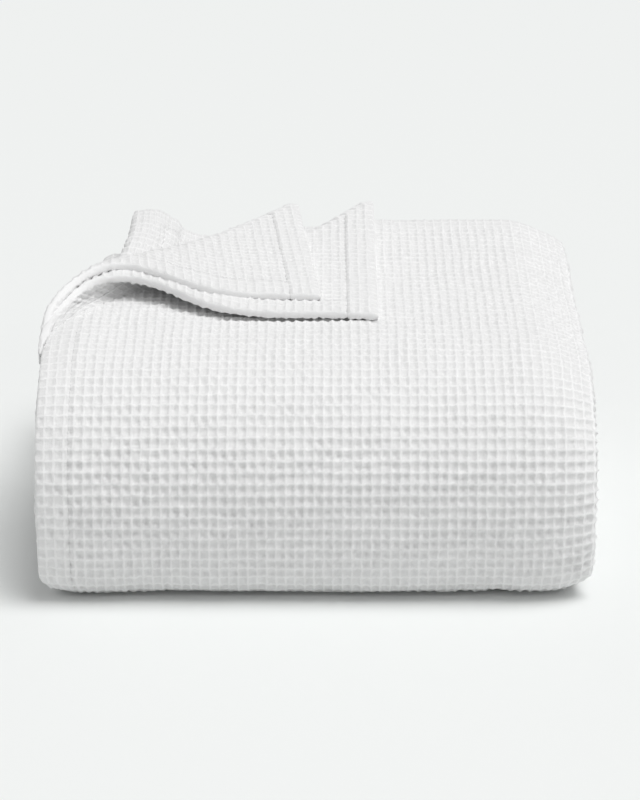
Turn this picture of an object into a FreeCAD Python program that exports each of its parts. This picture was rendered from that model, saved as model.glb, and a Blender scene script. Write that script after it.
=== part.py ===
"""A throw blanket of waffle-weave cotton, folded four plies wide and rolled into three leaves.

Millimetres, +Z up. X runs along the width, the big rounded fold faces -Y, and the cut end lies on
top at the back. The origin is at the middle of the underside. The cloth is split at its fold lines:
each ply is one solid that follows the roll, and its hems are solids of their own. The back left
corners of the two outer plies are turned over and lie on top as two flaps.
"""

import FreeCAD, Part

import math
import os
import Sketcher

DIMENSIONS = {
    "width": 380,            # over the side folds
    "depth": 336,            # from the big fold to the end hems
    "ply": 6.85,             # pitch of the plies in the stack
    "cloth": 6.6,            # thickness of a ply that lies turned over on top
    "clearance": 0.25,       # between pieces of the same ply
    "shoulder": 92,          # radius of the big fold's upper part
    "toe": 48,               # radius of the big fold's lower part
    "heel_inset": 6,         # how far the back fold stays inside the end hems
    "hem": 22,               # width of the double-folded hems
    "thread": 0.8,           # width of a stitched line
    "lower_side": 258,       # lower flap: from the corner forward to its fold
    "lower_back": 233,       # lower flap: from the corner along the end to its fold
    "lower_reach": 212,      # lower flap: from the end forward to its turned-over hem
    "lower_roll": 6.6,       # radius of the lower flap's roll
    "upper_side": 216,
    "upper_back": 172,
    "upper_edge": 186,       # upper flap: from the left side to its turned-over end
    "upper_reach": 200,
    "upper_roll": 13.6,
    "corner_side": 108,      # lifted corner of the third and fourth plies
    "corner_back": 100,
    "turning_gap": 0.4,      # round a roll or along the line on which a corner turns
    "lying_gap": 0.3,        # under a flap that lies on the ply below it
}
TOP = "24 * dims.ply"
LEAF = "8 * dims.ply"
FRONT = "-dims.depth / 2"
BACK = "dims.depth / 2"
HEEL = "dims.depth / 2 - dims.heel_inset - 8 * dims.ply"
CUT_DEPTH = "6 * dims.ply"
STACKED = "(dims.ply - dims.clearance)"
OUTER, SECOND, THIRD, FOURTH = 0, 1, 2, 3

doc = FreeCAD.newDocument("folded_throw_blanket")
dims = doc.addObject("Spreadsheet::Sheet", "dims")
for row, (alias, number) in enumerate(DIMENSIONS.items(), start=1):
    dims.set(f"A{row}", alias)
    dims.set(f"B{row}", str(number))
    dims.setAlias(f"B{row}", alias)
doc.recompute()
nodes = []


def size(expression):
    """The value of an expression over the sheet's cells, in millimetres."""
    return float(dims.evalExpression(expression))


def origin_plane(body, role):
    return next(plane for plane in body.Origin.OriginFeatures if plane.Role == role)


def new_body(label):
    """A body whose local X starts at the blanket's left side."""
    body = doc.addObject("PartDesign::Body", label)
    body.Label = label
    body.setExpression("Placement.Base.x", "-dims.width / 2")
    nodes.append(body)
    return body


def closed_sketch(body, role, height, corners, arcs=()):
    """A closed outline on an origin plane, raised by height. arcs maps the number of a segment to
    the centre that it turns about and whether it runs anticlockwise."""
    sketch = body.newObject("Sketcher::SketchObject", body.Label + "_outline")
    sketch.AttachmentSupport = [(origin_plane(body, role), "")]
    sketch.MapMode = "FlatFace"
    sketch.setExpression("AttachmentOffset.Base.z", height)
    arcs = dict(arcs)
    points = [FreeCAD.Vector(size(across), size(up), 0) for across, up in corners]
    count = len(points)
    for i, start in enumerate(points):
        end = points[(i + 1) % count]
        if i in arcs:
            (across, up), anticlockwise = arcs[i]
            centre = FreeCAD.Vector(size(across), size(up), 0)
            first, last = (start, end) if anticlockwise else (end, start)
            from_angle = math.atan2(first.y - centre.y, first.x - centre.x)
            to_angle = math.atan2(last.y - centre.y, last.x - centre.x)
            if to_angle < from_angle:
                to_angle += 2 * math.pi
            circle = Part.Circle(centre, FreeCAD.Vector(0, 0, 1), (start - centre).Length)
            sketch.addGeometry(Part.ArcOfCircle(circle, from_angle, to_angle), False)
        else:
            sketch.addGeometry(Part.LineSegment(start, end), False)

    def end_of(i, travel_end):
        swapped = i in arcs and not arcs[i][1]
        return (2 if travel_end else 1) if not swapped else (1 if travel_end else 2)

    for i in range(count):
        following = (i + 1) % count
        sketch.addConstraint(
            Sketcher.Constraint("Coincident", i, end_of(i, True), following, end_of(following, False))
        )
    for i, place in enumerate(corners):
        for kind, expression in zip(("DistanceX", "DistanceY"), place):
            rule = Sketcher.Constraint(kind, -1, 1, i, end_of(i, False), size(expression))
            number = sketch.addConstraint(rule)
            sketch.setExpression(f"Constraints[{number}]", expression)
    for i, (centre, _) in arcs.items():
        across = sketch.addConstraint(Sketcher.Constraint("DistanceX", -1, 1, i, 3, size(centre[0])))
        sketch.setExpression(f"Constraints[{across}]", centre[0])
    return sketch


def pad(body, sketch, length):
    feature = body.newObject("PartDesign::Pad", body.Label + "_pad")
    feature.Profile = sketch
    feature.setExpression("Length", length)
    doc.recompute()


def wrap_profile(body, start, outer, inner, back_end):
    """The outline of a ply that comes from the back along the top, round the big fold, along the
    underside and up round the back fold, between two depths below the blanket's surface."""
    shoulder = (f"{FRONT} + dims.shoulder", f"{TOP} - dims.shoulder")
    toe = (f"{FRONT} + dims.toe", "dims.toe")
    heel = (HEEL, LEAF)

    def chain(deep):
        return [
            (back_end, f"{TOP} - ({deep})"),
            (shoulder[0], f"{TOP} - ({deep})"),
            (f"{FRONT} + {deep}", shoulder[1]),
            (f"{FRONT} + {deep}", toe[1]),
            (toe[0], deep),
            (HEEL, deep),
            (f"{HEEL} + {LEAF} - ({deep})", LEAF),
            (HEEL, f"2 * {LEAF} - ({deep})"),
        ]

    outside = chain(outer)
    corners = outside + chain(inner)[::-1]
    turns = {1: shoulder, 3: toe, 5: heel, 6: heel}
    arcs = {i: (centre, True) for i, centre in turns.items()}
    arcs.update({len(corners) - 2 - i: (centre, False) for i, centre in turns.items()})
    return closed_sketch(body, "YZ_Plane", start, corners, arcs)


def turning_line(side, back, margin):
    """How far a line parallel to a fold meets the left side and the back end, as expressions: the
    fold runs from side to back, and the line is margin further from the corner."""
    grown = f"(1 + ({margin}) * sqrt({side}^2 + {back}^2) / ({side} * {back}))"
    return f"{side} * {grown}", f"{back} * {grown}"


def cut_corner(body, side, back, margin, from_height=TOP, depth=CUT_DEPTH):
    """Takes away the back left corner beyond a line, from the top leaf only."""
    far_side, far_back = turning_line(side, back, margin)
    corners = [("0", BACK), ("0", f"{BACK} - ({far_side})"), (far_back, BACK)]
    sketch = closed_sketch(body, "XY_Plane", from_height, corners)
    before = body.Shape.Volume
    pocket = body.newObject("PartDesign::Pocket", body.Label + "_corner_cut")
    pocket.Profile = sketch
    pocket.setExpression("Length", depth)
    doc.recompute()
    if not body.Shape.Volume < before:
        raise RuntimeError(f"{body.Label}: the corner cut took nothing away")


FOLDS = {
    OUTER: ("dims.lower_side", "dims.lower_back", "dims.lower_roll + dims.turning_gap"),
    SECOND: ("dims.upper_side", "dims.upper_back", "dims.upper_roll + dims.turning_gap"),
    THIRD: ("dims.corner_side", "dims.corner_back", "dims.turning_gap"),
    FOURTH: ("dims.corner_side", "dims.corner_back", "dims.turning_gap"),
}
HEM_BACK = f"{BACK} - dims.hem"
STITCHED = "dims.hem - dims.clearance - dims.thread"
HEM_ONLY = "dims.hem - 2 * dims.clearance - dims.thread"


def depths(number):
    """How deep the outer and inner faces of a ply lie."""
    return f"{number} * dims.ply", f"{number} * dims.ply + {STACKED}"


def make_wrap(label, number, start, end, back_end):
    """One ply of the roll, or the part of it between two distances from the left side."""
    body = new_body(label)
    outer, inner = depths(number)
    sketch = wrap_profile(body, start, outer, inner, back_end)
    pad(body, sketch, f"{end} - ({start})")
    cut_corner(body, *FOLDS[number])


def make_end_strip(label, number, start, end, front, back):
    """A strip along the end of a ply, on top at the back."""
    body = new_body(label)
    outer, inner = depths(number)
    corners = [
        (back, f"{TOP} - ({outer})"),
        (front, f"{TOP} - ({outer})"),
        (front, f"{TOP} - ({inner})"),
        (back, f"{TOP} - ({inner})"),
    ]
    sketch = closed_sketch(body, "YZ_Plane", start, corners)
    pad(body, sketch, f"{end} - ({start})")
    cut_corner(body, *FOLDS[number])


def make_hemmed_end(prefix, number, start, end):
    """The end hem of a ply and the stitched line in front of it."""
    hem_front = f"{BACK} - ({HEM_ONLY})"
    thread_front = f"{BACK} - ({STITCHED}) - dims.thread"
    make_end_strip(prefix + "_end_hem", number, start, end, hem_front, BACK)
    thread_back = f"{thread_front} + dims.thread"
    make_end_strip(prefix + "_end_stitching", number, start, end, thread_front, thread_back)


def make_hemmed_side(prefix, number):
    """The left hem of a ply and the stitched line beside it."""
    make_wrap(prefix + "_side_hem", number, "0", HEM_ONLY, HEM_BACK)
    make_wrap(prefix + "_side_stitching", number, STITCHED, "dims.hem - dims.clearance", HEM_BACK)


def make_side_fold(label, first, last, start, corner_number=None):
    """The bend at a side that joins two plies, closed over the plies between them."""
    body = new_body(label)
    outer = depths(first)[0]
    inner = depths(last)[1]
    sketch = wrap_profile(body, start, outer, inner, BACK)
    pad(body, sketch, STACKED)
    if corner_number is not None:
        cut_corner(body, *FOLDS[corner_number])


RIGHT_OUTER = "(dims.width - dims.ply)"
RIGHT_INNER = "(dims.width - 2 * dims.ply)"

make_wrap("outer_ply", OUTER, "dims.hem", RIGHT_OUTER, HEM_BACK)
make_hemmed_side("outer", OUTER)
make_hemmed_end("outer", OUTER, "0", RIGHT_OUTER)
make_wrap("second_ply", SECOND, "dims.hem", RIGHT_INNER, HEM_BACK)
make_hemmed_side("second", SECOND)
make_hemmed_end("second", SECOND, "0", RIGHT_INNER)
make_wrap("third_ply", THIRD, "dims.ply", RIGHT_INNER, HEM_BACK)
make_hemmed_end("third", THIRD, "dims.ply", RIGHT_INNER)
make_wrap("fourth_ply", FOURTH, "dims.ply", RIGHT_OUTER, HEM_BACK)
make_hemmed_end("fourth", FOURTH, "dims.ply", RIGHT_OUTER)
make_side_fold("right_fold", OUTER, FOURTH, f"{RIGHT_OUTER} + dims.clearance")
make_side_fold("inner_right_fold", SECOND, THIRD, f"{RIGHT_INNER} + dims.clearance")
make_side_fold("left_fold", THIRD, FOURTH, "0", THIRD)


def make_inner_wrap():
    """The four inner plies of the top and bottom leaves, and the core of the two folds."""
    body = new_body("inner_wrap")
    deep = "4 * dims.ply"
    shoulder = (f"{FRONT} + dims.shoulder", f"{TOP} - dims.shoulder")
    toe = (f"{FRONT} + dims.toe", "dims.toe")
    heel = (HEEL, LEAF)
    inside_front = f"{FRONT} + {LEAF}"
    corners = [
        (BACK, f"{TOP} - {deep}"),
        (shoulder[0], f"{TOP} - {deep}"),
        (f"{FRONT} + {deep}", shoulder[1]),
        (f"{FRONT} + {deep}", toe[1]),
        (toe[0], deep),
        (HEEL, deep),
        (f"{HEEL} + {LEAF} - {deep}", LEAF),
        (HEEL, f"2 * {LEAF} - {deep}"),
        (HEEL, LEAF),
        (inside_front, LEAF),
        (inside_front, f"2 * {LEAF}"),
        (BACK, f"2 * {LEAF}"),
    ]
    arcs = {1: (shoulder, True), 3: (toe, True), 5: (heel, True), 6: (heel, True)}
    pad(body, closed_sketch(body, "YZ_Plane", "0", corners, arcs), "dims.width")


def make_middle_leaf():
    """The eight plies between the top and bottom leaves, with the half fold at their front."""
    body = new_body("middle_leaf")
    front = f"{FRONT} + {LEAF} + dims.clearance"
    back = f"{HEEL} - dims.clearance"
    low = f"{LEAF} + dims.clearance"
    high = f"2 * {LEAF} - dims.clearance"
    corners = [(back, high), (front, high), (front, low), (back, low)]
    pad(body, closed_sketch(body, "YZ_Plane", "0", corners), "dims.width")


def make_plate(label, corners, low, thickness):
    """A flat piece of a turned corner. Corners are distances from the left side and the end."""
    body = new_body(label)
    places = [(right, f"{BACK} - ({forward})") for right, forward in corners]
    pad(body, closed_sketch(body, "XY_Plane", low, places), thickness)


def make_flap(prefix, side, back, edge, reach, radius, number):
    """The turned-over corner of a ply: its cloth, the two hems that meet at its tip, their
    stitching, and the roll along the fold, which lies on the ply below and turns about its own
    centre line."""
    far_side, far_back = turning_line(side, back, f"{radius} + dims.lying_gap")

    def forward_at(right):
        return f"({far_side}) * (1 - ({right}) / ({far_back}))"

    def right_at(forward):
        return f"({far_back}) * (1 - ({forward}) / ({far_side}))"

    low = f"{TOP} + dims.lying_gap + {number} * (dims.cloth + dims.lying_gap)"
    inside = f"{edge} - dims.hem"
    hem_line = f"{reach} - dims.hem"
    strips = {
        "_end_hem": (f"{edge} - ({HEM_ONLY})", edge),
        "_end_stitching": (f"{edge} - ({STITCHED}) - dims.thread", f"{edge} - ({STITCHED})"),
    }
    for name, (near, far) in strips.items():
        outline = [(near, forward_at(near)), (near, reach), (far, reach), (far, forward_at(far))]
        make_plate(prefix + name, outline, low, "dims.cloth")
    strips = {
        "_side_hem": (f"{reach} - ({HEM_ONLY})", reach),
        "_side_stitching": (f"{reach} - ({STITCHED}) - dims.thread", f"{reach} - ({STITCHED})"),
    }
    for name, (near, far) in strips.items():
        outline = [(right_at(near), near), (right_at(far), far), (inside, far), (inside, near)]
        make_plate(prefix + name, outline, low, "dims.cloth")
    outline = [(inside, forward_at(inside)), (right_at(hem_line), hem_line), (inside, hem_line)]
    make_plate(prefix + "_cloth", outline, low, "dims.cloth")

    fold = f"sqrt({side}^2 + {back}^2)"
    left_end = f"{radius} * {side} / {back}"
    right_end = f"{radius} * {back} / {side}"
    roll = doc.addObject("Part::Cylinder", prefix + "_roll")
    roll.Label = prefix + "_roll"
    roll.setExpression("Radius", radius)
    roll.setExpression("Height", f"{fold} - {left_end} - {right_end}")
    along = FreeCAD.Vector(size(back), size(side), 0).normalize()
    axis_height = f"{TOP} - ({number} + 1) * dims.ply + dims.lying_gap + {radius}"
    start = FreeCAD.Vector(size("-dims.width / 2"), size(f"{BACK} - {side}"), size(axis_height))
    turn = FreeCAD.Rotation(FreeCAD.Vector(0, 0, 1), along)
    roll.Placement = FreeCAD.Placement(start + along * size(left_end), turn)
    nodes.append(roll)


def make_lifted_corner():
    """The free corner of the third and fourth plies, which are one fold at the left side."""
    side, back, margin = FOLDS[THIRD]
    far_side, far_back = turning_line(side, back, f"-({margin})")

    def right_at(forward):
        return f"({far_back}) * (1 - ({forward}) / ({far_side}))"

    fold_line = f"{far_side} * (1 - dims.ply / ({far_back}))"
    for prefix, number in (("third_corner", THIRD), ("fourth_corner", FOURTH)):
        low = f"{TOP} - {number} * dims.ply - {STACKED}"
        strips = {
            "_end_hem": ("0", HEM_ONLY),
            "_end_stitching": (STITCHED, f"{STITCHED} + dims.thread"),
        }
        for name, (near, far) in strips.items():
            outline = [("dims.ply", near), ("dims.ply", far), (right_at(far), far), (right_at(near), near)]
            make_plate(prefix + name, outline, low, STACKED)
        outline = [("dims.ply", "dims.hem"), ("dims.ply", fold_line), (right_at("dims.hem"), "dims.hem")]
        make_plate(prefix + "_cloth", outline, low, STACKED)
    low = f"{TOP} - {FOURTH} * dims.ply - {STACKED}"
    beside = f"{far_side} * (1 - {STACKED} / ({far_back}))"
    outline = [("0", "0"), ("0", far_side), (STACKED, beside), (STACKED, "0")]
    make_plate("corner_left_fold", outline, low, f"dims.ply + {STACKED}")


make_inner_wrap()
make_middle_leaf()
make_flap(
    "lower_flap", "dims.lower_side", "dims.lower_back", "dims.lower_back", "dims.lower_reach",
    "dims.lower_roll", OUTER,
)
make_flap(
    "upper_flap", "dims.upper_side", "dims.upper_back", "dims.upper_edge", "dims.upper_reach",
    "dims.upper_roll", SECOND,
)
make_lifted_corner()

doc.recompute()
for thing in doc.Objects:
    if {"Invalid", "Error"} & set(thing.State):
        raise RuntimeError(f"{thing.Label} did not recompute: {thing.State}")
for node in nodes:
    if node.Shape.isNull() or not node.Shape.isValid():
        raise RuntimeError(f"{node.Label} has no valid shape")
os.makedirs("parts", exist_ok=True)
for node in nodes:
    node.Shape.exportStep(f"parts/{node.Label}.step")
    box = node.Shape.BoundBox
    print(f"{node.Label:26} {box.XLength:7.1f} {box.YLength:7.1f} {box.ZLength:7.1f}")
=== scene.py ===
"""A waffle-weave cotton throw, folded four plies wide and rolled into three leaves of eight plies.

Metres, +Z up. The big rounded fold faces -Y and the hemmed ends lie on top at the back. Each ply is
a closed sheet that follows the roll; two corners are turned over at the back left, and the corner
of the plies below them is lifted.
"""
import math

import bpy
import numpy as np
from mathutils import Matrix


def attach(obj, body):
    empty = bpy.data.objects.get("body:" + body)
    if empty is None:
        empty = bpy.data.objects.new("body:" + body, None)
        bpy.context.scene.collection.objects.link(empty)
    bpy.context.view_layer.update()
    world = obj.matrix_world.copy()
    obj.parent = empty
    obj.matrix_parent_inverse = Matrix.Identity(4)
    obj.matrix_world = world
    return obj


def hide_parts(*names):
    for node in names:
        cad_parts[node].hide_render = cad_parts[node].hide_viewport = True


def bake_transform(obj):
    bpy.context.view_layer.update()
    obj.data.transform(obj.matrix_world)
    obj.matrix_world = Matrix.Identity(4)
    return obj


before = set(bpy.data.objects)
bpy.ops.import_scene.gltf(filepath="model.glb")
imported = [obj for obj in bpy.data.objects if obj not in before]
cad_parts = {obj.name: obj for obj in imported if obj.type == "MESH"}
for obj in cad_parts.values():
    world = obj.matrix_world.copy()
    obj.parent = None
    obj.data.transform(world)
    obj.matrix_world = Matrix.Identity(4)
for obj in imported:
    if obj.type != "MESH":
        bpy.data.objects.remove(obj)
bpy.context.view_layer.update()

# ---------------------------------------------------------------- sizes
PITCH = 0.00679          # of the plies in the stack
CLOTH = 0.0064           # thickness of a lofted ply
LEAF = 8 * PITCH
BACK = 0.168             # where the hemmed ends lie
LEFT = -0.188
CELL_ACROSS = 0.00644
CELL_ALONG = 0.0078
HEM = 0.022
RELIEF = 0.0022          # how far a rib stands above the middle of its cell
FLOOR_CLEARANCE = 0.0002  # below which no cloth reaches
STITCH_CLEARANCE = 0.0006
RIGHT_DROOP = 0.013      # how far the right end of the top sinks
LEFT_DROOP = 0.0025
TUCK = 0.027             # how far the deep plies are pulled in at the back left
TOE_IN_LEFT = 0.010      # how far the front corners round off at the floor
TOE_IN_RIGHT = 0.005
SIDE_HEM_THICKNESS = 0.0076
END_HEM_THICKNESS = 0.0074
SIDE_HEM_FLUSH = 0.158   # share that a turned hem thins by where it meets the cloth
END_HEM_FLUSH = 0.135
EDGE_AT = -0.1835        # past which the rolls' ends are held in
EDGE_GIVE = 0.0045       # and how far they still reach
CORNER_LIFT = 0.0215     # how far the loose corner stands up at rest
CORNER_IN = 0.031
# Where a turned corner would start to follow its hinge, and the height over which it would come to follow it; they
# only fill the bend, which is read as no more than a flag.
BEND_LOW = {"lower_flap": 0.1605, "upper_flap": 0.1555}
BEND_TALL = {"lower_flap": 0.0075, "upper_flap": 0.014}


def wobble(u, v, reach, seed):
    """A smooth irregular value from -1 to 1 that changes over about one reach."""
    chance = np.random.default_rng(seed)
    total = 0
    for _ in range(6):
        angle = chance.uniform(0, math.tau)
        rate = math.tau / (reach * chance.uniform(0.8, 2.2))
        total = total + np.sin(rate * (u * math.cos(angle) + v * math.sin(angle)) + chance.uniform(0, math.tau))
    return total / 4


def ease(value):
    value = np.clip(value, 0, 1)
    return value * value * (3 - 2 * value)


def smooth_line(points, spacing=0.001):
    """A smooth curve through points, sampled evenly along its length."""
    points = np.array(points, float)
    reach = np.concatenate([[0], np.cumsum(np.linalg.norm(np.diff(points, axis=0), axis=1))])
    slopes = np.gradient(points, reach, axis=0)
    fine = np.linspace(0, reach[-1], int(reach[-1] / spacing) * 2)
    k = np.clip(np.searchsorted(reach, fine, side="right") - 1, 0, len(points) - 2)
    span = (reach[k + 1] - reach[k])[:, None]
    t = (fine[:, None] - reach[k][:, None]) / span
    curve = ((2 * t**3 - 3 * t**2 + 1) * points[k] + (t**3 - 2 * t**2 + t) * span * slopes[k]
             + (3 * t**2 - 2 * t**3) * points[k + 1] + (t**3 - t**2) * span * slopes[k + 1])
    length = np.concatenate([[0], np.cumsum(np.linalg.norm(np.diff(curve, axis=0), axis=1))])
    even = np.linspace(0, length[-1], int(length[-1] / spacing))
    return np.stack([np.interp(even, length, curve[:, i]) for i in range(curve.shape[1])], 1), even


# ---------------------------------------------------------------- the roll
# The outer face of the blanket in the Y-Z plane: distances behind the big fold, and heights.
HEEL = 0.2745
outline = [(0.336, 0.172), (0.307, 0.1702), (0.279, 0.168), (0.256, 0.166), (0.232, 0.1642), (0.209, 0.1633),
           (0.175, 0.163), (0.139, 0.163), (0.116, 0.1623), (0.092, 0.1607), (0.070, 0.157), (0.047, 0.149),
           (0.028, 0.136), (0.0135, 0.118), (0.0045, 0.096), (0.0008, 0.073), (0.0008, 0.052),
           (0.0040, 0.031), (0.0125, 0.0135), (0.027, 0.0035), (0.048, 0.0003), (0.090, 0), (0.150, 0), (0.220, 0)]
outline += [(HEEL + LEAF * math.sin(math.radians(turn)), LEAF - LEAF * math.cos(math.radians(turn)))
            for turn in range(0, 181, 20)]
outline += [(0.215, 2 * LEAF), (0.150, 2 * LEAF), (0.1, 2 * LEAF), (LEAF + 0.003, 2 * LEAF)]
roll_line, roll_length = smooth_line([(y - BACK, z) for y, z in outline])
ROLL_END = roll_length[-1]
roll_way = np.gradient(roll_line, roll_length, axis=0)
roll_way /= np.linalg.norm(roll_way, axis=1)[:, None]
turning = np.abs(np.gradient(np.unwrap(np.arctan2(roll_way[:, 1], roll_way[:, 0])), roll_length))
window = np.hanning(41) / np.hanning(41).sum()
turning = np.convolve(np.pad(turning, 20, mode="edge"), window, mode="valid")
squeeze = np.minimum(1, 0.9 / (LEAF * np.maximum(turning, 1e-3)))
squeeze = np.convolve(np.pad(squeeze, 20, mode="edge"), window, mode="valid")
roll_way = np.stack([np.convolve(np.pad(roll_way[:, i], 20, mode="edge"), window, mode="valid")
                     for i in (0, 1)], 1)
roll_way /= np.linalg.norm(roll_way, axis=1)[:, None]
TOE = float(np.interp(0.055 - BACK, *zip(*sorted((y, s) for (y, z), s in zip(roll_line, roll_length)
                                                 if z < 0.02 and 0.4 < s < 0.6 and y < -0.08))))


def roll_point(x, s, deep):
    """A point of the stack: across, along the roll from the hemmed end, and below the outer face."""
    y, z, ty, tz, k = [np.interp(s, roll_length, row) for row in
                       (roll_line[:, 0], roll_line[:, 1], roll_way[:, 0], roll_way[:, 1], squeeze)]
    top = 1 - ease((s - 0.10) / 0.25) * 0.72
    droop = RIGHT_DROOP * ease((x - 0.140) / 0.05) * top * (1 - deep / LEAF)
    droop = droop + (LEFT_DROOP * ease((-0.165 - x) / 0.025) * (1 - deep / LEAF)
                     * (1 - ease((s - 0.3) / 0.1) * 0.6))
    soft = 0.0007 * wobble(x, s, 0.11, 3) + 0.0004 * wobble(x, s, 0.035, 4)
    off = deep * k + droop + soft * (1 - 0.6 * deep / LEAF)
    tucked = TUCK * ease((-0.080 - x) / 0.10) * ease((0.150 - s) / 0.12) * ease((deep - 0.012) / 0.010)
    toe = ease((0.020 - z) / 0.020) * ease((-0.085 - y) / 0.05)
    in_left = TOE_IN_LEFT * toe * ease((-0.150 - x) / 0.038)
    in_right = TOE_IN_RIGHT * toe * ease((x - 0.150) / 0.038)
    return np.stack([x + tucked + in_left - in_right, y - tz * off, z + ty * off], -1)


def bulge(x, middle, half_height, reach):
    """Points of a side fold, from its upper ply to its lower: distances across, and depths in plies."""
    angles = np.radians(np.arange(0, 181, 9))
    return [(x + reach * math.sin(a), middle - half_height * math.cos(a)) for a in angles]


def section(points):
    """A line across the plies as three rows: its length, the distance across, and the depth."""
    points = np.array([(x, ply * PITCH) for x, ply in points])
    length = np.concatenate([[0], np.cumsum(np.linalg.norm(np.diff(points, axis=0), axis=1))])
    return length, points[:, 0], points[:, 1]


def stacked(line, seed=1):
    """The middle surface of the plies that a section joins."""
    length, across, depth = line

    def place(a, b):
        x = np.interp(a, length, across)
        uneven = 0.0009 * wobble(b, 0 * b + seed * 0.31, 0.09, seed)
        x = x + uneven * ease((np.abs(x) - 0.15) / 0.03) * np.sign(-x)
        return roll_point(x, b, np.interp(a, length, depth))

    return place


def cell_lines(start, end, cell, parts, near_start=False, near_end=False, thickness=CLOTH):
    """Distances at which a sheet has lines, some to each cell, so that every rib falls on one."""
    first, last = math.ceil(start / cell * parts), math.floor(end / cell * parts)
    even = np.arange(first, last + 1) * cell / parts
    even = even[(even > start + 0.0004) & (even < end - 0.0004)]
    rounding = np.array([0, 0.06, 0.22, 0.5]) * thickness / 2
    low = start + rounding if near_start else np.array([start])
    high = (end - rounding)[::-1] if near_end else np.array([end])
    even = even[(even > low[-1] + 0.0003) & (even < high[0] - 0.0003)]
    return np.concatenate([low, even, high])


def waffle(a, b, seed):
    """The height of the weave from 0 in the middle of a cell to 1 on a rib, at places in cells."""
    u = a + 0.09 * wobble(a, b, 6, seed) + 0.07 * wobble(a, b, 1.6, seed + 1)
    v = b + 0.08 * wobble(a, b, 6, seed + 2) + 0.07 * wobble(a, b, 1.6, seed + 3)
    rib_u = 0.5 + 0.5 * np.cos(math.tau * u)
    rib_v = 0.5 + 0.5 * np.cos(math.tau * v)
    bowl = (1 - rib_u**1.9) * (1 - rib_v**1.9)
    height = 0.95 + 0.20 * wobble(a, b, 1.9, seed + 4)
    return (1 - bowl) * height + 0.10 * rib_u * rib_v + 0.07 * wobble(a, b, 0.45, seed + 5)


def normal_at(place, a, b, way):
    step = 0.0006
    across = place(a + step, b) - place(a - step, b)
    along = place(a, b + step) - place(a, b - step)
    normal = np.cross(across, along) * way
    return normal / np.maximum(np.linalg.norm(normal, axis=-1), 1e-12)[..., None]


def plain_blocks(shown, number, way, size=4):
    """Large faces for the plain side of a sheet, as rings of points, and the quads left over. A
    large face has every point of a side that it shares with small ones."""
    rows, columns = shown.shape[0] // size, shown.shape[1] // size
    full = shown[:rows * size, :columns * size].reshape(rows, size, columns, size).all((1, 3))
    covered = np.zeros_like(shown)
    covered[:rows * size, :columns * size] = np.repeat(np.repeat(full, size, 0), size, 1)
    padded = np.pad(full, 1)
    rings = []
    for i, j in np.argwhere(full):
        low_a, low_b = i * size, j * size
        corners = [(low_a, low_b), (low_a + size, low_b), (low_a + size, low_b + size), (low_a, low_b + size)]
        beside = [padded[i + 1, j], padded[i + 2, j + 1], padded[i + 1, j + 2], padded[i, j + 1]]
        ring = []
        for k, whole in enumerate(beside):
            (a0, b0), (a1, b1) = corners[k], corners[(k + 1) % 4]
            for step in range(1 if whole else size):
                ring.append(int(number[a0 + (a1 - a0) * step // size, b0 + (b1 - b0) * step // size]))
        rings.append(ring[::-1] if way > 0 else ring)
    left = shown & ~covered
    quads = np.stack([number[:-1, :-1], number[1:, :-1], number[1:, 1:], number[:-1, 1:]], -1)[left]
    return rings, quads


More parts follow.
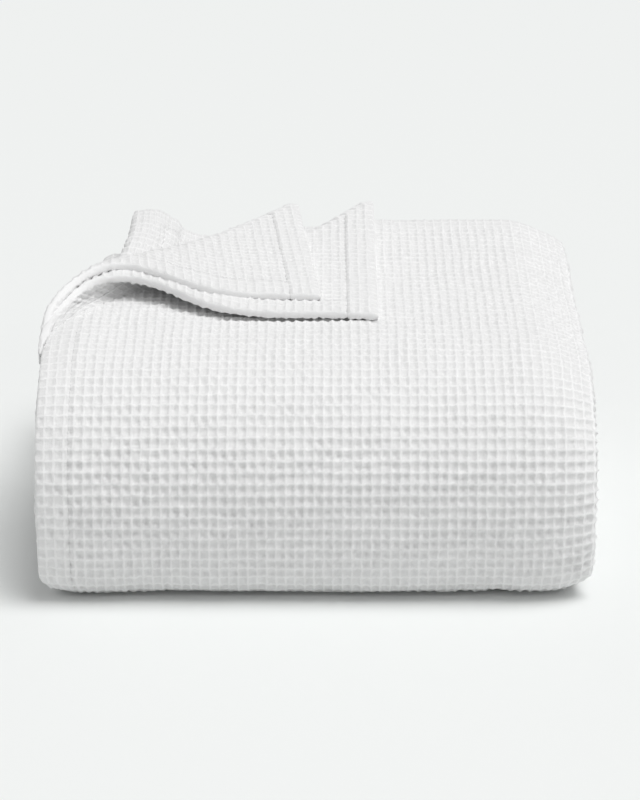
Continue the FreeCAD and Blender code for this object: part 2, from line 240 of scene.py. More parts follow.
def panel(name, place, a, b, way=1, rounded=(0, 0, 0, 0), relief=RELIEF, under=0.0, keep=None, seed=11,
          thickness=CLOTH, origin=(0.0, 0.0), plain_under=False, calm=0.0):
    """A closed sheet of cloth about the middle surface that place gives. rounded says which of the
    edges at the start and end of a, and the start and end of b, are rounded, and by how much."""
    A, B = np.meshgrid(a, b, indexing="ij")
    middle = place(A, B)
    normal = normal_at(place, A, B, way)
    half = np.full(A.shape, thickness / 2)
    for amount, distance in zip(rounded, (A - a[0], a[-1] - A, B - b[0], b[-1] - B)):
        if amount:
            reach = thickness / 2
            t = np.clip(distance / reach, 0, 1)
            half = half * (1 - amount + amount * np.sqrt(np.maximum(1 - (1 - t) ** 2, 0)))
    u, v = (A - origin[0]) / CELL_ACROSS, (B - origin[1]) / CELL_ALONG
    share = half / (thickness / 2)
    weave = waffle(u, v, seed)
    share = np.sqrt(np.maximum(share, 0.0)) * (1 - calm * ease((-0.168 - middle[..., 0]) / 0.012))
    edge_fuzz = 0.00065 * wobble(A, B, 0.0032, seed + 8) * (half > 0)
    half = half + edge_fuzz
    top = half + relief * (weave - 0.55) * share
    bottom = half + (under * (weave - 0.55) * share if under else 0)
    upper = middle + normal * top[..., None]
    lower = middle - normal * bottom[..., None]
    na, nb = A.shape
    count = na * nb
    shown = np.ones((na - 1, nb - 1), bool)
    if keep is not None:
        shown = keep((A[:-1, :-1] + A[1:, 1:]) / 2, (B[:-1, :-1] + B[1:, 1:]) / 2)
    number = np.arange(count).reshape(na, nb)
    quads = np.stack([number[:-1, :-1], number[1:, :-1], number[1:, 1:], number[:-1, 1:]], -1)
    quads = quads[shown]
    if way < 0:
        quads = quads[:, ::-1]
    sides = np.concatenate([quads[:, [i, (i + 1) % 4]] for i in range(4)])
    key = sides[:, 0].astype(np.int64) * count + sides[:, 1]
    back = sides[:, 1].astype(np.int64) * count + sides[:, 0]
    rim = sides[~np.isin(back, key)]
    walls = np.stack([rim[:, 1], rim[:, 0], rim[:, 0] + count, rim[:, 1] + count], -1)
    blocks, lower_quads = [], quads[:, ::-1] + count
    if plain_under:
        blocks, rest = plain_blocks(shown, number, way)
        lower_quads = rest[:, ::-1] + count if way > 0 else rest + count
    faces = np.concatenate([quads, lower_quads, walls])
    points = np.concatenate([upper.reshape(-1, 3), lower.reshape(-1, 3)])
    points[:, 2] = np.maximum(points[:, 2], FLOOR_CLEARANCE)
    cells = np.concatenate([np.stack([u, v, share], -1).reshape(-1, 3)] * 2)
    _, first, same = np.unique(np.round(points, 6), axis=0, return_index=True, return_inverse=True)
    same = same.reshape(-1)
    faces = same[faces].tolist() + [same[np.array(ring) + count].tolist() for ring in blocks]
    used = np.array(sorted({p for face in faces for p in face}))
    kept = first[used]
    renumber = np.zeros(len(first), int)
    renumber[used] = np.arange(len(used))
    renumber = renumber.tolist()
    polygons = []
    for face in faces:
        face = [renumber[p] for p in face]
        ring = [p for i, p in enumerate(face) if p != face[i - 1]]
        if len(ring) > 2 and len(set(ring)) == len(ring):
            polygons.append(ring)
    mesh = bpy.data.meshes.new(name)
    mesh.from_pydata(points[kept].tolist(), [], polygons)
    mesh.attributes.new("weave", "FLOAT_VECTOR", "POINT").data.foreach_set("vector", cells[kept].reshape(-1))
    mesh.polygons.foreach_set("use_smooth", np.ones(len(mesh.polygons), bool))
    mesh.update()
    piece = bpy.data.objects.new("woven_" + name, mesh)
    bpy.context.scene.collection.objects.link(piece)
    across, along = np.meshgrid(np.diff(a), np.diff(b), indexing="ij")
    spans = [float(steps[shown.any(axis)].sum()) for steps, axis in ((np.diff(a), 1), (np.diff(b), 0))]
    piece["cut"] = [*spans, float((across * along)[shown].sum())]
    return piece


# ---------------------------------------------------------------- materials
def link(tree, *ends):
    for start, end in ends:
        tree.links.new(start, end)


def math_node(tree, operation, first, second=None):
    node = tree.nodes.new("ShaderNodeMath")
    node.operation = operation
    for i, value in enumerate((first, second)):
        if value is None:
            continue
        if isinstance(value, (int, float)):
            node.inputs[i].default_value = value
        else:
            tree.links.new(value, node.inputs[i])
    return node.outputs[0]


def spread(tree, value, low, high, to_low=0.0, to_high=1.0):
    node = tree.nodes.new("ShaderNodeMapRange")
    node.interpolation_type = "SMOOTHSTEP"
    tree.links.new(value, node.inputs["Value"])
    for socket, number in zip(("From Min", "From Max", "To Min", "To Max"), (low, high, to_low, to_high)):
        node.inputs[socket].default_value = number
    return node.outputs["Result"]


def noise(tree, place, scale, detail=2.0, roughness=0.5):
    node = tree.nodes.new("ShaderNodeTexNoise")
    node.inputs["Scale"].default_value = scale
    node.inputs["Detail"].default_value = detail
    node.inputs["Roughness"].default_value = roughness
    tree.links.new(place, node.inputs["Vector"])
    return node.outputs["Fac"]


def waffle_cotton(name, sunken_shade_colour, raised, bump=0.55):
    """White cotton: pale raised ribs, cells between them painted greyer as painted shade in the hollows of the
    weave, and fuzzy yarns that run both ways.
    """
    material = bpy.data.materials.new(name)
    material.use_nodes = True
    tree = material.node_tree
    shader = tree.nodes["Principled BSDF"]
    shader.inputs["Roughness"].default_value = 0.93
    shader.inputs["Specular IOR Level"].default_value = 0.18
    shader.inputs["Sheen Weight"].default_value = 0.25
    shader.inputs["Sheen Roughness"].default_value = 0.6
    cells = tree.nodes.new("ShaderNodeAttribute")
    cells.attribute_name = "weave"
    split = tree.nodes.new("ShaderNodeSeparateXYZ")
    coords = tree.nodes.new("ShaderNodeTexCoord")
    link(tree, (cells.outputs["Vector"], split.inputs[0]))
    fuzz = noise(tree, coords.outputs["Object"], 1050, 5.0, 0.75)
    strays = []
    for rate in (1.1, 1.7):
        drift = math_node(tree, "SUBTRACT", noise(tree, cells.outputs["Vector"], rate, 3.0, 0.7), 0.5)
        strays.append(math_node(tree, "MULTIPLY", drift, 0.42))
    u = math_node(tree, "ADD", split.outputs["X"], strays[0])
    v = math_node(tree, "ADD", split.outputs["Y"], strays[1])
    near = math_node(tree, "MINIMUM", math_node(tree, "PINGPONG", u, 0.5), math_node(tree, "PINGPONG", v, 0.5))
    fray = math_node(tree, "MULTIPLY", math_node(tree, "SUBTRACT", fuzz, 0.5), 0.30)
    ragged = math_node(tree, "ADD", near, fray)
    rib = spread(tree, ragged, 0.17, 0.05)
    slub = noise(tree, coords.outputs["Object"], 330, 2.0)
    cloud = noise(tree, coords.outputs["Object"], 16, 2.0)
    strand_u = math_node(tree, "PINGPONG", math_node(tree, "MULTIPLY", u, 8.0), 0.5)
    strand_v = math_node(tree, "PINGPONG", math_node(tree, "MULTIPLY", v, 9.0), 0.5)
    strands = math_node(tree, "ADD", strand_u, strand_v)
    # painted shade: the ribs mix towards the pale colour and the cells between them stay at the darker
    # painted-shade colour; yarn fuzz, strands and the broad cloud add random variation on top
    shade_and_yarn_tone = math_node(tree, "ADD", math_node(tree, "MULTIPLY", rib, 0.60),
                     math_node(tree, "MULTIPLY", fuzz, 0.62))
    shade_and_yarn_tone = math_node(tree, "ADD", shade_and_yarn_tone, math_node(tree, "MULTIPLY", strands, 0.06))
    shade_and_yarn_tone = math_node(tree, "ADD", shade_and_yarn_tone, math_node(tree, "MULTIPLY", cloud, 0.10))
    mix = tree.nodes.new("ShaderNodeMix")
    mix.data_type = "RGBA"
    # the darker colour is painted shade for the hollow cells
    mix.inputs["A"].default_value = (*sunken_shade_colour, 1)
    mix.inputs["B"].default_value = (*raised, 1)
    link(tree, (shade_and_yarn_tone, mix.inputs["Factor"]), (mix.outputs["Result"], shader.inputs["Base Color"]))
    height = math_node(tree, "ADD", math_node(tree, "MULTIPLY", rib, 0.55),
                       math_node(tree, "MULTIPLY", fuzz, 0.70))
    height = math_node(tree, "ADD", height, math_node(tree, "MULTIPLY", slub, 0.35))
    height = math_node(tree, "ADD", height, math_node(tree, "MULTIPLY", strands, 0.20))
    raise_up = tree.nodes.new("ShaderNodeBump")
    raise_up.inputs["Strength"].default_value = bump
    raise_up.inputs["Distance"].default_value = 0.0008
    link(tree, (height, raise_up.inputs["Height"]), (raise_up.outputs["Normal"], shader.inputs["Normal"]))
    return material


def sewing_thread():
    """Matt white thread with a fine twist."""
    material = bpy.data.materials.new("white_sewing_thread")
    material.use_nodes = True
    tree = material.node_tree
    shader = tree.nodes["Principled BSDF"]
    shader.inputs["Roughness"].default_value = 0.7
    shader.inputs["Sheen Weight"].default_value = 0.2
    coords = tree.nodes.new("ShaderNodeTexCoord")
    twist = noise(tree, coords.outputs["Object"], 1800, 2.0)
    ramp = tree.nodes.new("ShaderNodeValToRGB")
    ramp.color_ramp.elements[0].color = (0.80, 0.80, 0.80, 1)
    ramp.color_ramp.elements[1].color = (0.92, 0.92, 0.92, 1)
    raise_up = tree.nodes.new("ShaderNodeBump")
    raise_up.inputs["Distance"].default_value = 0.0003
    link(tree, (twist, ramp.inputs[0]), (ramp.outputs[0], shader.inputs["Base Color"]))
    link(tree, (twist, raise_up.inputs["Height"]), (raise_up.outputs[0], shader.inputs["Normal"]))
    return material


# The darker first colour is painted shade in the hollow cells; the hems' flatter cells are painted with less of
# it.
WAFFLE = waffle_cotton("white_waffle_cotton", (0.735, 0.735, 0.733), (0.92, 0.92, 0.92))
HEMMED = waffle_cotton("hemmed_waffle_cotton", (0.765, 0.765, 0.763), (0.92, 0.92, 0.92), 0.6)
THREAD = sewing_thread()


def finish_cloth(piece, body, nodes, hem=False, bend=None):
    """The finish of a sheet, and the body it rides on; a sheet given a bend is baked in place and left unattached.
    """
    piece.data.materials.append(HEMMED if hem else WAFFLE)
    if bend:
        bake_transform(piece)
    else:
        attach(piece, body)
    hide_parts(*nodes)
    del piece["cut"]
    return piece


# ---------------------------------------------------------------- stitches
def stitch_tree():
    """Geometry Nodes: one thread stitch after another along a line, lying along it."""
    tree = bpy.data.node_groups.new("row_of_stitches", "GeometryNodeTree")
    face = tree.interface
    face.new_socket("Geometry", in_out="INPUT", socket_type="NodeSocketGeometry")
    for label, number in (("Pitch", 0.0034), ("Stitch Length", 0.0013), ("Thread Radius", 0.00032)):
        face.new_socket(label, in_out="INPUT", socket_type="NodeSocketFloat").default_value = number
    face.new_socket("Seed", in_out="INPUT", socket_type="NodeSocketInt").default_value = 5
    face.new_socket("Geometry", in_out="OUTPUT", socket_type="NodeSocketGeometry")
    add = tree.nodes.new
    start, end = add("NodeGroupInput"), add("NodeGroupOutput")
    curve, sample = add("GeometryNodeMeshToCurve"), add("GeometryNodeResampleCurve")
    sample.mode = "LENGTH"
    tangent, align = add("GeometryNodeInputTangent"), add("FunctionNodeAlignRotationToVector")
    align.axis = "Z"
    ball, scale = add("GeometryNodeMeshUVSphere"), add("ShaderNodeCombineXYZ")
    place = add("GeometryNodeInstanceOnPoints")
    ball.inputs["Segments"].default_value = 6
    ball.inputs["Rings"].default_value = 5
    ball.inputs["Radius"].default_value = 1.0
    vary = add("FunctionNodeRandomValue")
    vary.data_type = "FLOAT"
    vary.inputs[2].default_value = 0.85
    vary.inputs[3].default_value = 1.1
    long = add("ShaderNodeMath")
    long.operation = "MULTIPLY"
    smooth, real = add("GeometryNodeSetShadeSmooth"), add("GeometryNodeRealizeInstances")
    paint = add("GeometryNodeSetMaterial")
    paint.inputs["Material"].default_value = THREAD
    link(tree, (start.outputs["Geometry"], curve.inputs["Mesh"]), (curve.outputs[0], sample.inputs["Curve"]),
         (start.outputs["Pitch"], sample.inputs["Length"]), (sample.outputs[0], place.inputs["Points"]),
         (tangent.outputs[0], align.inputs["Vector"]), (align.outputs[0], place.inputs["Rotation"]),
         (ball.outputs["Mesh"], place.inputs["Instance"]), (start.outputs["Seed"], vary.inputs["Seed"]),
         (start.outputs["Stitch Length"], long.inputs[0]), (vary.outputs[1], long.inputs[1]),
         (start.outputs["Thread Radius"], scale.inputs["X"]), (start.outputs["Thread Radius"], scale.inputs["Y"]),
         (long.outputs[0], scale.inputs["Z"]), (scale.outputs[0], place.inputs["Scale"]),
         (place.outputs[0], real.inputs[0]), (real.outputs[0], smooth.inputs[0]),
         (smooth.outputs[0], paint.inputs[0]), (paint.outputs[0], end.inputs[0]))
    return tree


STITCHES = stitch_tree()


def stitching(name, points, body, node, bend=None, pitch=0.0034):
    """A row of stitches through points, made from the node tree as a plain mesh."""
    points = np.array(points)
    points[:, 2] = np.maximum(points[:, 2], STITCH_CLEARANCE)
    line = bpy.data.meshes.new(name + "_line")
    line.from_pydata(points.tolist(), [(i, i + 1) for i in range(len(points) - 1)], [])
    carrier = bpy.data.objects.new(name + "_line", line)
    bpy.context.scene.collection.objects.link(carrier)
    modifier = carrier.modifiers.new("stitches", "NODES")
    modifier.node_group = STITCHES
    sockets = {item.name: item.identifier for item in STITCHES.interface.items_tree if item.in_out == "INPUT"}
    modifier[sockets["Pitch"]] = pitch
    bpy.context.view_layer.update()
    evaluated = carrier.evaluated_get(bpy.context.evaluated_depsgraph_get())
    mesh = bpy.data.meshes.new_from_object(evaluated)
    mesh.name = name
    piece = bpy.data.objects.new("sewn_" + name, mesh)
    bpy.context.scene.collection.objects.link(piece)
    bpy.data.objects.remove(carrier)
    if bend:
        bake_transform(piece)
    else:
        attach(piece, body)
    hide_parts(node)
    return piece


def seam(place, a, b, way, lift=0.0001, thickness=CLOTH):
    """Points of a stitched line that lies on a sheet."""
    a, b = np.broadcast_arrays(np.asarray(a, float), np.asarray(b, float))
    return place(a, b) + normal_at(place, a, b, way) * (thickness / 2 + lift)


# ---------------------------------------------------------------- fold lines of the turned corners
class Fold:
    """The line that a corner turns about, in plan, and its roll."""

    def __init__(self, places, deep, heights):
        self.deep = deep
        self.line, _ = smooth_line([(x, y - BACK) for x, y in places], 0.002)
        way = np.gradient(self.line, axis=0)
        way /= np.linalg.norm(way, axis=1)[:, None]
        self.out = np.stack([-way[:, 1], way[:, 0]], 1)
        spots = np.array([(x, y - BACK) for x, y, z in heights])
        values = np.array([z for x, y, z in heights])
        gaps = np.linalg.norm(spots[:, None] - spots[None], axis=-1)
        count = len(spots)
        system = np.zeros((count + 3, count + 3))
        system[:count, :count] = gaps + np.eye(count) * 0.004
        system[:count, count] = system[count, :count] = 1
        system[:count, count + 1:] = spots
        system[count + 1:, :count] = spots.T
        self.spots, self.weights = spots, np.linalg.solve(system, np.concatenate([values, [0, 0, 0]]))

    def height(self, x, y):
        """The middle of the turned cloth above the floor."""
        total = self.weights[-3] + self.weights[-2] * x + self.weights[-1] * y
        for (sx, sy), weight in zip(self.spots, self.weights):
            total = total + weight * np.sqrt((x - sx) ** 2 + (y - sy) ** 2 + 0.015 ** 2)
        return total

    def beyond(self, x, y):
        """How far places lie beyond the line, and the nearest point and outward way there."""
        shape = np.shape(x)
        flat = np.stack([np.ravel(x), np.ravel(y)], 1)
        nearest = np.empty(len(flat), int)
        for start in range(0, len(flat), 20000):
            part = flat[start:start + 20000]
            gap = ((part[:, None, :] - self.line[None]) ** 2).sum(-1)
            nearest[start:start + 20000] = gap.argmin(1)
        out = self.out[nearest]
        distance = ((flat - self.line[nearest]) * out).sum(1)
        foot = flat - out * distance[:, None]
        return distance.reshape(shape), foot.reshape(*shape, 2), out.reshape(*shape, 2)

    def turn(self, x, y):
        """Where a place of the unrolled corner lies once the cloth has gone round the fold, and whether
        the sheet reaches so far round."""
        distance, foot, out = self.beyond(x, y)
        back_by = np.clip(distance, 0, 0.05) * 1.25 * ease((foot[..., 1] - 0.085) / 0.075)
        foot = foot - np.stack([out[..., 1], -out[..., 0]], -1) * back_by[..., None]
        crest = self.height(foot[..., 0], foot[..., 1])
        bed = roll_point(foot[..., 0], roll_s(foot[..., 1]), np.full(np.shape(x), self.deep))[..., 2]
        radius = np.maximum((crest - bed) / 2, 0.003)
        round_it = np.clip(distance, 0, None)
        angle = np.minimum(round_it / radius, math.pi)
        rest = np.maximum(round_it - math.pi * radius, 0)
        out_by = radius * np.sin(angle) - rest
        px = foot[..., 0] + out[..., 0] * np.where(distance > 0, out_by, distance)
        py = foot[..., 1] + out[..., 1] * np.where(distance > 0, out_by, distance)
        past = np.maximum(EDGE_AT - px, 0)
        px = px + past - EDGE_GIVE * np.tanh(past / EDGE_GIVE)
        lying = self.height(x, y)
        pz = np.where(distance > 0, crest - radius * (1 - np.cos(angle)) - rest * 0.18, lying)
        reach = (math.pi * radius + 0.004) * (0.30 + 0.70 * ease((foot[..., 1] + BACK - 0.060) / 0.035))
        return np.stack([px, py, pz], -1), distance < reach


def roll_s(y):
    """How far along the roll a place on top is from the hemmed end."""
    top = roll_length < 0.30
    return np.interp(-np.asarray(y), -roll_line[top, 0], roll_length[top])


# Each fold line is places across and behind the big fold, and its cloth's heights are at such places.
lower_fold = Fold(
    [(-0.200, 0.058), (-0.190, 0.088), (-0.175, 0.124), (-0.159, 0.152), (-0.135, 0.177),
     (-0.100, 0.204), (-0.060, 0.241), (-0.001, 0.291), (0.043, 0.336), (0.060, 0.353)], 0.5 * PITCH,
    [(-0.164, 0.160, 0.181), (-0.133, 0.167, 0.181), (-0.115, 0.161, 0.179), (-0.097, 0.148, 0.176),
     (-0.080, 0.136, 0.1725), (-0.057, 0.128, 0.1698), (-0.034, 0.126, 0.168),
     (0.013, 0.126, 0.1676), (0.041, 0.124, 0.1672), (0.042, 0.200, 0.1680), (0.043, 0.270, 0.1725),
     (0.043, 0.336, 0.1835), (-0.001, 0.291, 0.1735), (0.020, 0.312, 0.1777), (-0.060, 0.241, 0.172),
     (-0.100, 0.204, 0.175), (-0.137, 0.178, 0.181), (-0.175, 0.124, 0.1775), (-0.190, 0.088, 0.1690)])
upper_fold = Fold(
    [(-0.202, 0.052), (-0.191, 0.084), (-0.175, 0.122), (-0.158, 0.154), (-0.135, 0.185),
     (-0.100, 0.228), (-0.071, 0.268), (-0.021, 0.336), (-0.008, 0.353)], 1.5 * PITCH,
    [(-0.164, 0.166, 0.188), (-0.150, 0.171, 0.188), (-0.133, 0.174, 0.188), (-0.115, 0.167, 0.1853),
     (-0.097, 0.157, 0.1825), (-0.080, 0.149, 0.1790), (-0.057, 0.144, 0.1762), (-0.030, 0.1445, 0.1748),
     (0.001, 0.145, 0.1742), (-0.004, 0.200, 0.1748), (-0.010, 0.270, 0.1755), (-0.021, 0.336, 0.1772),
     (-0.137, 0.183, 0.187), (-0.100, 0.228, 0.181), (-0.071, 0.268, 0.1765), (-0.045, 0.305, 0.1765),
     (-0.175, 0.122, 0.1820), (-0.191, 0.084, 0.1705)])
corner_line = (np.array([-0.190, 0.060]), np.array([-0.090, 0.168]))
corner_way = (corner_line[1] - corner_line[0]) / np.linalg.norm(corner_line[1] - corner_line[0])
corner_out = np.array([-corner_way[1], corner_way[0]])


def stack_keep(line, fold, room):
    """Which faces of a stacked ply stay where its corner is turned over beyond a fold."""
    length, across, _ = line

    def keep(a, b):
        x = np.interp(a, length, across)
        y = np.interp(b, roll_length, roll_line[:, 0])
        distance, _, _ = fold.beyond(x, np.where(b < 0.3, y, -0.2))
        return (distance < room) | (b > 0.3)

    return keep


# ---------------------------------------------------------------- the stack
outer = section([(LEFT, 0.5), (0.158, 0.5)] + bulge(0.1585, 2.0, 1.5, 0.0275) + [(0.150, 3.5)])
second = section([(LEFT - 0.0006, 1.5), (0.165, 1.5)] + bulge(0.1655, 2.0, 0.5, 0.0120) + [(0.155, 2.5)])
lower_pair = section([(0.140, 2.5), (-0.178, 2.5)] + [(-0.1785 - 0.0082 * math.sin(a), 3.0 - 0.5 * math.cos(a))
                                                   for a in np.radians(np.arange(0, 181, 15))] + [(0.140, 3.5)])
ends = [(LEFT + 0.001, 7.5), (0.158, 7.5)] + [(x, d) for x, d in bulge(0.1585, 6.0, -1.5, 0.0270)]
ends += [(0.150, 4.5), (-0.178, 4.5)]
ends += [(-0.1785 - 0.0082 * math.sin(a), 5.0 - 0.5 * math.cos(a)) for a in np.radians(np.arange(0, 181, 15))]
ends += [(0.160, 5.5)] + [(x, d) for x, d in bulge(0.1655, 6.0, 0.5, 0.0115)] + [(0.155, 6.5), (LEFT, 6.5)]
inner_plies = section(ends)


def a_lines(line, start, end, step, fine, near_start=False, near_end=False):
    """Lines across the plies: far apart where they are flat and close where they turn."""
    length, _, _ = line
    marks = []
    for i in range(len(length) - 1):
        gap = length[i + 1] - length[i]
        count = max(1, int(math.ceil(gap / (step if gap > 0.02 else fine))))
        marks += [length[i] + gap * k / count for k in range(count)]
    marks = np.array(marks + [length[-1]])
    rounding = np.array([0, 0.06, 0.22, 0.5, 0.9]) * CLOTH / 2
    low = start + rounding if near_start else np.array([start])
    high = (end - rounding)[::-1] if near_end else np.array([end])
    marks = marks[(marks > low[-1] + 0.0015) & (marks < high[0] - 0.0015)]
    return np.concatenate([low, marks, high])


def s_lines(start, end, flat, turn, near_start=False, near_end=False):
    """Lines along the roll: far apart where it is flat and close where it turns."""
    marks, s = [], start
    while s < end:
        marks.append(s)
        s += turn if np.interp(s, roll_length, turning) > 4 else flat
    marks = np.array(marks)
    rounding = np.array([0, 0.06, 0.22, 0.5, 0.9]) * CLOTH / 2
    low = start + rounding if near_start else np.array([start])
    high = (end - rounding)[::-1] if near_end else np.array([end])
    marks = marks[(marks > low[-1] + 0.0015) & (marks < high[0] - 0.0015)]
    return np.concatenate([low, marks, high])


outer_place = stacked(outer, 1)
FLAT = 0.158 - LEFT
across = cell_lines(HEM, FLAT, CELL_ACROSS, 4)
turned = a_lines(outer, FLAT, outer[0][-1], 0.006, 0.0021, False, True)[1:]
fine_rows = cell_lines(HEM, TOE, CELL_ALONG, 4)
end_rows = cell_lines(0, HEM, CELL_ALONG, 3, True, False)
keep_outer = stack_keep(outer, lower_fold, 0.002)
finish_cloth(
    panel("outer_ply", outer_place, np.concatenate([across, turned]), fine_rows, -1, (0.02, 0.9, 0.10, 0),
          keep=keep_outer, plain_under=True),
    "stack", ["outer_ply", "right_fold"])
under_rows = s_lines(TOE, ROLL_END, 0.0117, 0.0039, False, True)
finish_cloth(
    panel("outer_ply_underneath", outer_place,
          np.concatenate([cell_lines(HEM, FLAT, CELL_ACROSS, 2), turned]), under_rows, -1, (0.4, 0.9, 0, 1),
          relief=0.0009, keep=None), "stack", ["outer_ply", "right_fold"])
side_columns = cell_lines(0, HEM, CELL_ACROSS, 3, True, False)
finish_cloth(
    panel("outer_side_hem", outer_place, side_columns, np.concatenate([fine_rows, under_rows[1:]]), -1,
          (1, 0.02, 0.4, 1), relief=0.0013, keep=keep_outer), "stack", ["outer_side_hem"], True)
finish_cloth(
    panel("outer_end_hem", outer_place,
          np.concatenate([cell_lines(0, FLAT, CELL_ACROSS, 3, True), turned]), end_rows, -1,
          (1, 0.9, 1, 0.4), relief=0.0010, keep=keep_outer), "stack", ["outer_end_hem"], True)

second_place = stacked(second, 2)
second_keep = stack_keep(second, upper_fold, 0.002)
plain_rows = s_lines(HEM, ROLL_END, 0.012, 0.0045, False, True)
second_columns = a_lines(second, HEM, second[0][-1], 0.012, 0.003, False, True)
finish_cloth(
    panel("second_ply", second_place, second_columns, plain_rows, -1, (0.4, 1, 0.4, 1), relief=0,
          keep=second_keep), "stack", ["second_ply", "inner_right_fold"])
finish_cloth(
    panel("second_side_hem", second_place, side_columns, plain_rows, -1, (1, 0.4, 0.4, 1), relief=0.0004,
          keep=second_keep), "stack", ["second_side_hem"], True)
finish_cloth(
    panel("second_end_hem", second_place, a_lines(second, 0, second[0][-1], 0.0065, 0.003, True, True), end_rows,
          -1, (1, 1, 1, 0.4), relief=0.0007, keep=second_keep), "stack", ["second_end_hem"], True)

pair_place = stacked(lower_pair, 3)


def pair_keep(a, b):
    x = np.interp(a, lower_pair[0], lower_pair[1])
    y = np.interp(b, roll_length, roll_line[:, 0])
    distance, _, _ = upper_fold.beyond(x, np.where(b < 0.3, y, -0.2))
    return (distance < -0.006) | (b > 0.3)


finish_cloth(
    panel("third_and_fourth_plies", pair_place,
          a_lines(lower_pair, 0, lower_pair[0][-1], 0.012, 0.0025, True, True), plain_rows, 1,
          (1, 1, 0.4, 1), relief=0, keep=pair_keep),
    "stack", ["third_ply", "fourth_ply", "left_fold"])
finish_cloth(
    panel("third_and_fourth_end_hems", pair_place,
          a_lines(lower_pair, 0, lower_pair[0][-1], 0.0065, 0.0025, True, True), end_rows, 1, (1, 1, 1, 0.4),
          relief=0.0007, keep=pair_keep), "stack", ["third_end_hem", "fourth_end_hem"], True)

finish_cloth(
    panel("inner_plies", stacked(inner_plies, 4),
          a_lines(inner_plies, 0, inner_plies[0][-1], 0.016, 0.0035, True, True),
          s_lines(0, ROLL_END - 0.004, 0.014, 0.006, True, True), -1, (1, 1, 1, 1), relief=0),
    "stack", ["inner_wrap", "middle_leaf"])


# ---------------------------------------------------------------- the turned corners
def smooth_row(points):
    """A smooth function through points, by way of an evenly sampled curve."""
    line, _ = smooth_line([(x, y - BACK) for x, y in points], 0.002)
    return lambda x: np.interp(x, line[:, 0], line[:, 1])


lower_edge = smooth_row([(-0.262, 0.046), (-0.230, 0.072), (-0.2066, 0.097), (-0.1885, 0.131), (-0.164, 0.158),
                         (-0.150, 0.164), (-0.133, 0.167), (-0.115, 0.161), (-0.097, 0.148), (-0.080, 0.136),
                         (-0.057, 0.128), (-0.034, 0.126), (0.013, 0.1265), (0.0445, 0.124), (0.06, 0.124)])
upper_edge = smooth_row([(-0.290, 0.044), (-0.250, 0.070), (-0.2216, 0.0986), (-0.1938, 0.1327), (-0.164, 0.163),
                         (-0.150, 0.171), (-0.133, 0.174), (-0.115, 0.167), (-0.097, 0.157), (-0.080, 0.149),
                         (-0.057, 0.144), (-0.030, 0.1445), (0.001, 0.145), (0.02, 0.145)])


def make_flap(prefix, fold, edge, right, lean, left, reach, body, seed):
    """A turned-over corner: its cloth with the roll, the two hems and their stitching."""

    def place(a, b):
        return fold.turn(a - lean * b, edge(a) + b)[0]

    def keep(a, b):
        return fold.turn(a - lean * b, edge(a) + b)[1]

    middle = fold.line[len(fold.line) // 2]
    out = fold.out[len(fold.out) // 2]
    low, tall = BEND_LOW[body], BEND_TALL[body]
    lean_in = 0.3 * tall
    start = (middle[0], middle[1], low)
    end = (middle[0] - out[0] * lean_in, middle[1] - out[1] * lean_in, low + tall)
    bend = ("stack", body, start, end)
    columns = right - cell_lines(0, right - left, CELL_ACROSS, 4)[::-1]
    inside = right - HEM
    main = columns[columns < inside - 0.0003]
    main = np.concatenate([main, [inside]])
    band = right - cell_lines(0, HEM, CELL_ACROSS, 4, True)[::-1]
    front = cell_lines(0, HEM, CELL_ALONG, 4, True)
    rows = cell_lines(HEM, reach, CELL_ALONG, 4)
    origin = (right, 0)
    cloth = panel(prefix + "_cloth", place, main, rows, 1, (0, 0, 0, 0), RELIEF * 0.8, 0.0006, keep, seed,
                  origin=origin, calm=0.8)
    finish_cloth(cloth, body, [prefix + "_cloth", prefix + "_roll"], bend=bend)
    side_hem = panel(prefix + "_side_hem", place, main, front, 1, (0, 0.02, 1, SIDE_HEM_FLUSH), 0.0015, 0.0013,
                     keep, seed, thickness=SIDE_HEM_THICKNESS, origin=origin, calm=0.8)
    finish_cloth(side_hem, body, [prefix + "_side_hem"], True, bend)
    end_hem = panel(prefix + "_end_hem", place, band, np.concatenate([front, rows[1:]]), 1,
                    (END_HEM_FLUSH, 1, 1, 0), 0.0015, 0.0013, keep, seed, thickness=END_HEM_THICKNESS,
                    origin=origin)
    finish_cloth(end_hem, body, [prefix + "_end_hem"], True, bend)

    def shown(a, b):
        a, b = np.broadcast_arrays(np.asarray(a, float), np.asarray(b, float))
        good = keep(a, b)
        return a[good], b[good]

    a, b = shown(np.full(120, inside), np.linspace(0.002, reach, 120))
    stitching(prefix + "_end_stitching", seam(place, a, b, 1, 0.0), body, prefix + "_end_stitching", bend)
    a, b = shown(np.linspace(left, inside, 200), np.full(200, HEM))
    stitching(prefix + "_side_stitching", seam(place, a, b, 1, -0.0003), body, prefix + "_side_stitching", bend)


make_flap("lower_flap", lower_fold, lower_edge, 0.0435, 0.0, -0.232, 0.262, "lower_flap", 31)
make_flap("upper_flap", upper_fold, upper_edge, 0.0035, 0.085, -0.262, 0.250, "upper_flap", 47)


# ---------------------------------------------------------------- the lifted corner
corner_section = section(
    [(0.030, 2.5), (-0.178, 2.5)]
    + [(-0.1785 - 0.0082 * math.sin(a), 3.0 - 0.5 * math.cos(a)) for a in np.radians(np.arange(0, 181, 15))]
    + [(0.030, 3.5)])


def corner_place(a, b):
    length, across_it, depth = corner_section
    x = np.interp(a, length, across_it)
    spot = roll_point(x, b, np.interp(a, length, depth))
    y = spot[..., 1]
    distance, _, _ = upper_fold.beyond(x, y)
    lift = ease(distance / 0.115) * ease((-0.060 - x) / 0.100)
    spot[..., 2] = spot[..., 2] + CORNER_LIFT * lift + 0.0008 * wobble(x, y, 0.05, 77) * ease(distance / 0.03)
    spot[..., 0] = spot[..., 0] + CORNER_IN * ease((-0.085 - x) / 0.105) * ease(distance / 0.06)
    return spot


def corner_keep(a, b):
    x = np.interp(a, corner_section[0], corner_section[1])
    distance, _, _ = upper_fold.beyond(x, np.interp(b, roll_length, roll_line[:, 0]))
    return distance > -0.010


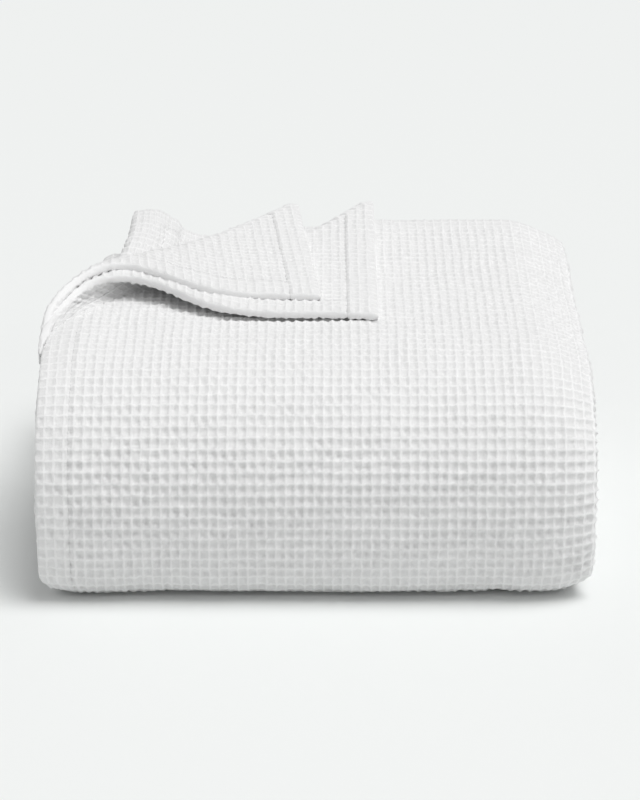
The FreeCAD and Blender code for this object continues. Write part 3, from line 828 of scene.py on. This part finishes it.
middle = (corner_line[0] + corner_line[1]) / 2
corner_bend = ("stack", "lifted_corner", (*(middle - corner_out * 0.010), 0.15),
               (*(middle + corner_out * 0.022), 0.15))
top_end = corner_section[0][1]
corner_columns = np.concatenate([
    top_end - cell_lines(0, top_end, CELL_ACROSS, 3)[::-1],
    a_lines(corner_section, top_end, corner_section[0][-1], 0.006, 0.0016, False, True)[1:]])
finish_cloth(
    panel("corner_cloth", corner_place, corner_columns, cell_lines(HEM, 0.300, CELL_ALONG, 3), 1, (0, 0, 0.4, 0),
          RELIEF * 0.9, keep=corner_keep, seed=61, origin=(top_end, 0)),
    "lifted_corner", ["third_corner_cloth", "fourth_corner_cloth", "corner_left_fold"], bend=corner_bend)
finish_cloth(
    panel("corner_end_hems", corner_place, corner_columns, cell_lines(0, HEM, CELL_ALONG, 3, True), 1,
          (0, 0, 1, 0.4), 0.0008, keep=corner_keep, seed=61, origin=(top_end, 0)),
    "lifted_corner", ["third_corner_end_hem", "fourth_corner_end_hem"], True, corner_bend)


# ---------------------------------------------------------------- rows of stitches on the stack
def stack_seam(name, place, a, b, way, keep, node):
    a, b = np.broadcast_arrays(np.asarray(a, float), np.asarray(b, float))
    good = keep(a, b)
    stitching(name, seam(place, a[good], b[good], way, -0.0004), "stack", node)


stack_seam("outer_side_stitching", outer_place, HEM, np.linspace(HEM, ROLL_END - 0.01, 700), -1, keep_outer,
           "outer_side_stitching")
stack_seam("outer_end_stitching", outer_place, np.linspace(HEM, FLAT, 300), HEM, -1, keep_outer,
           "outer_end_stitching")
stack_seam("second_side_stitching", second_place, HEM, np.linspace(HEM, ROLL_END - 0.01, 500), -1,
           second_keep, "second_side_stitching")
stack_seam("second_end_stitching", second_place, np.linspace(HEM, FLAT, 300), HEM, -1, second_keep,
           "second_end_stitching")
upper_run = np.linspace(0.004, 0.300, 200)
stack_seam("third_end_stitching", pair_place, upper_run, HEM, 1, pair_keep, "third_end_stitching")
stack_seam("fourth_end_stitching", pair_place, lower_pair[0][-1] - upper_run, HEM, 1, pair_keep,
           "fourth_end_stitching")


def corner_seam(name, a, node):
    good = corner_keep(a, np.full(a.shape, HEM))
    points = seam(corner_place, a[good], np.full(good.sum(), HEM), 1, -0.0004)
    stitching(name, points, "lifted_corner", node, corner_bend)


corner_seam("third_corner_end_stitching", np.linspace(0.02, top_end, 160), "third_corner_end_stitching")
corner_seam("fourth_corner_end_stitching", np.linspace(top_end + 0.012, corner_section[0][-1] - 0.01, 160),
            "fourth_corner_end_stitching")


# ---------------------------------------------------------------- floor, light and camera
WORLD_STRENGTH = 0.42
SUN_STRENGTH = 2.02
SUN_SPREAD = 34          # degrees across, for soft shadows
SUN_FORWARD = 9          # degrees that it leans from straight above
SUN_RIGHT = 18
CAMERA_PLACE = (0.0027, -2.0163, 0.862)
CAMERA_TILT = 69
LENS = 135


def flat_material(name, colour, roughness=0.9):
    material = bpy.data.materials.new(name)
    material.use_nodes = True
    shader = material.node_tree.nodes["Principled BSDF"]
    shader.inputs["Base Color"].default_value = (*colour, 1)
    shader.inputs["Roughness"].default_value = roughness
    shader.inputs["Specular IOR Level"].default_value = 0.0
    return material


floor_mesh = bpy.data.meshes.new("floor")
floor_mesh.from_pydata([(-8, -6, 0), (8, -6, 0), (8, 14, 0), (-8, 14, 0)], [], [(0, 1, 2, 3)])
floor = bpy.data.objects.new("floor", floor_mesh)
floor_mesh.materials.append(flat_material("pale_floor", (0.836, 0.851, 0.843)))
bpy.context.scene.collection.objects.link(floor)

world = bpy.data.worlds.new("soft_studio")
bpy.context.scene.world = world
world.use_nodes = True
world.node_tree.nodes["Background"].inputs["Color"].default_value = (1.0, 1.0, 1.0, 1)
world.node_tree.nodes["Background"].inputs["Strength"].default_value = WORLD_STRENGTH


def soft_light(name, place, aim, size, power):
    data = bpy.data.lights.new(name, "AREA")
    data.shape = "RECTANGLE"
    data.size, data.size_y = size
    data.energy = power
    lamp = bpy.data.objects.new(name, data)
    bpy.context.scene.collection.objects.link(lamp)
    way = np.array(aim, float) - np.array(place, float)
    lamp.location = place
    lean = math.atan2(math.hypot(way[0], way[1]), -way[2])
    lamp.rotation_euler = (lean, 0, math.atan2(way[0], -way[1]) + math.pi)
    return lamp


soft_light("fill_front", (1.1, -1.9, 1.7), (0, 0, 0.1), (0.7, 0.7), 3.0)
sun_data = bpy.data.lights.new("key_above_right", "SUN")
sun_data.energy = SUN_STRENGTH
sun_data.angle = math.radians(SUN_SPREAD)
sun = bpy.data.objects.new("key_above_right", sun_data)
sun.rotation_euler = (math.radians(SUN_FORWARD), math.radians(SUN_RIGHT), 0)
bpy.context.scene.collection.objects.link(sun)

camera_data = bpy.data.cameras.new("camera")
camera_data.lens = LENS
camera_data.sensor_width = 36
camera_data.clip_end = 50
camera = bpy.data.objects.new("camera", camera_data)
camera.location = CAMERA_PLACE
camera.rotation_euler = (math.radians(CAMERA_TILT), 0, 0)
bpy.context.scene.collection.objects.link(camera)
bpy.context.scene.camera = camera
bpy.context.scene.view_settings.view_transform = "Standard"
bpy.context.view_layer.update()
